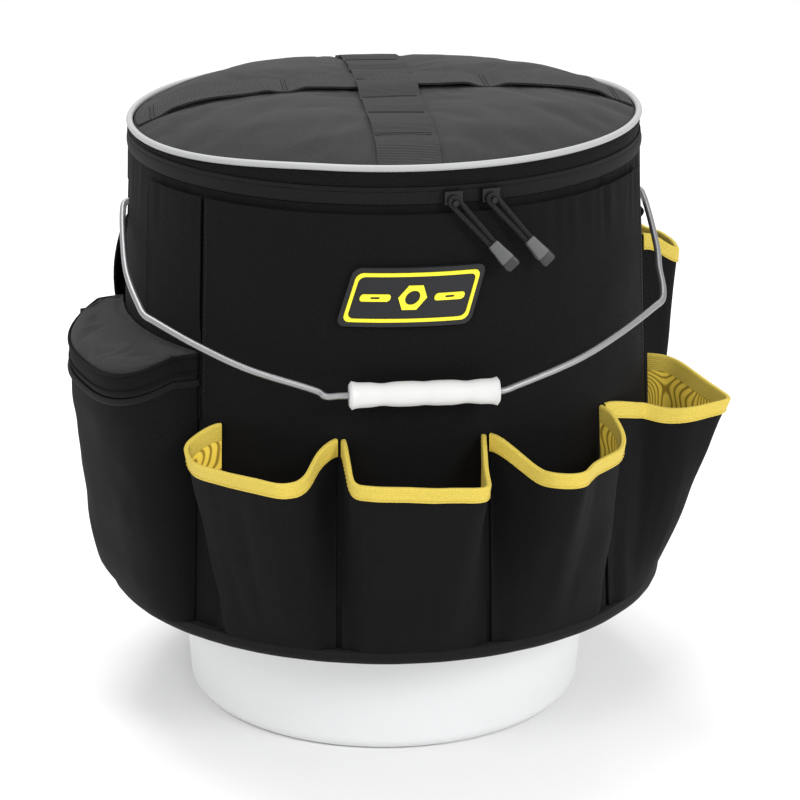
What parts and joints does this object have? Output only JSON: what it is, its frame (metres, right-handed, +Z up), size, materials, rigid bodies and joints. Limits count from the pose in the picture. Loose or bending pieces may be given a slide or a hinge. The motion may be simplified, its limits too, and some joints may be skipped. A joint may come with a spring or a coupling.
{
  "type": "tool bucket organizer",
  "caption": "White pail with wire bail in a black fabric tool organizer: zippered domed lid, open pockets with yellow binding, and a zipped side pouch.",
  "frame": {"origin": "centre of the pail's flat underside", "axes": "+Z up through the pail's axis; -Y is the front, where the badge is; +X is the right-hand ear seen from the front"},
  "size_m": [0.4219, 0.4335, 0.4104],
  "materials": {
    "pail": "smooth white moulded polyethylene",
    "steel": "zinc plated satin wire",
    "grip": "white moulded plastic",
    "fabric": "black woven polyester, plain weave",
    "lid_fabric": "black woven polyester, faded by the light",
    "webbing": "charcoal ribbed webbing",
    "cord": "black braided cord",
    "zipper": "black zipper tape and teeth",
    "binding": "yellow grosgrain binding",
    "piping": "silver grey reflective piping",
    "rubber": "black moulded rubber with a yellow border",
    "hardware": "black painted die cast slider",
    "pull_tip": "dark grey moulded tip"
  },
  "bodies": {
    "organizer": {"pail": "pail", "sleeve": "fabric", "hem_binding": "fabric", "inner_liner": "fabric", "front_apron": "fabric", "left_panel": "fabric", "right_panel": "fabric", "rear_apron": "fabric", "ear_guard_left": "fabric", "ear_guard_right": "fabric", "badge": "rubber", "pocket_front_left": "fabric", "binding_front_left": "binding", "pocket_front_center": "fabric", "binding_front_center": "binding", "pocket_front_right": "fabric", "binding_front_right": "binding", "pocket_side_right": "fabric", "binding_side_right": "binding", "pocket_tall_right": "fabric", "binding_tall_right": "binding", "pocket_rear_right": "fabric", "binding_rear_right": "binding", "pocket_rear_center": "fabric", "binding_rear_center": "binding", "pocket_rear_left": "fabric", "binding_rear_left": "binding", "pocket_rear_side": "fabric", "binding_rear_side": "binding", "pouch_body": "fabric", "pouch_zipper": "zipper", "pouch_hinge_flap": "fabric", "pouch_tab": "webbing", "inner_pocket_1": "fabric", "inner_pocket_2": "fabric", "inner_pocket_3": "fabric", "inner_pocket_4": "fabric", "zipper_tape": "zipper", "lid_hinge_tape": "fabric"},
    "lid": {"lid_shell": "lid_fabric", "lid_piping": "piping", "lid_webbing_cross": "webbing", "lid_webbing_main": "webbing"},
    "bail": {"bail_wire": "steel"},
    "grip": {"bail_grip": "grip"},
    "left_slider": {"slider_left": "hardware", "pull_cord_left": "cord", "pull_tip_left": "pull_tip"},
    "right_slider": {"slider_right": "hardware", "pull_cord_right": "cord", "pull_tip_right": "pull_tip"},
    "pouch_cover": {"pouch_lid": "fabric"}
  },
  "joints": [
    {"name": "bail_swing", "type": "hinge", "parent": "organizer", "child": "bail", "pos_m": [0, 0, 0.334], "axis": [-1, 0, 0], "range_deg": [0, 216]},
    {"name": "grip_spin", "type": "hinge", "parent": "bail", "child": "grip", "pos_m": [0.006, -0.18358, 0.25983], "axis": [1, 0, 0], "continuous": true},
    {"name": "lid_hinge", "type": "hinge", "parent": "organizer", "child": "lid", "pos_m": [0, 0.1645, 0.3775], "axis": [-1, 0, 0], "range_deg": [0, 110]},
    {"name": "left_slider_travel", "type": "hinge", "parent": "organizer", "child": "left_slider", "pos_m": [0, 0, 0.3746], "axis": [0, 0, 1], "range_deg": [-158, 0]},
    {"name": "right_slider_travel", "type": "hinge", "parent": "organizer", "child": "right_slider", "pos_m": [0, 0, 0.3746], "axis": [0, 0, 1], "range_deg": [0, 133]},
    {"name": "pouch_lid_hinge", "type": "hinge", "parent": "organizer", "child": "pouch_cover", "pos_m": [-0.16434, -0.05579, 0.2667], "axis": [-0.3214, 0.9469, 0], "range_deg": [0, 85]}
  ]
}
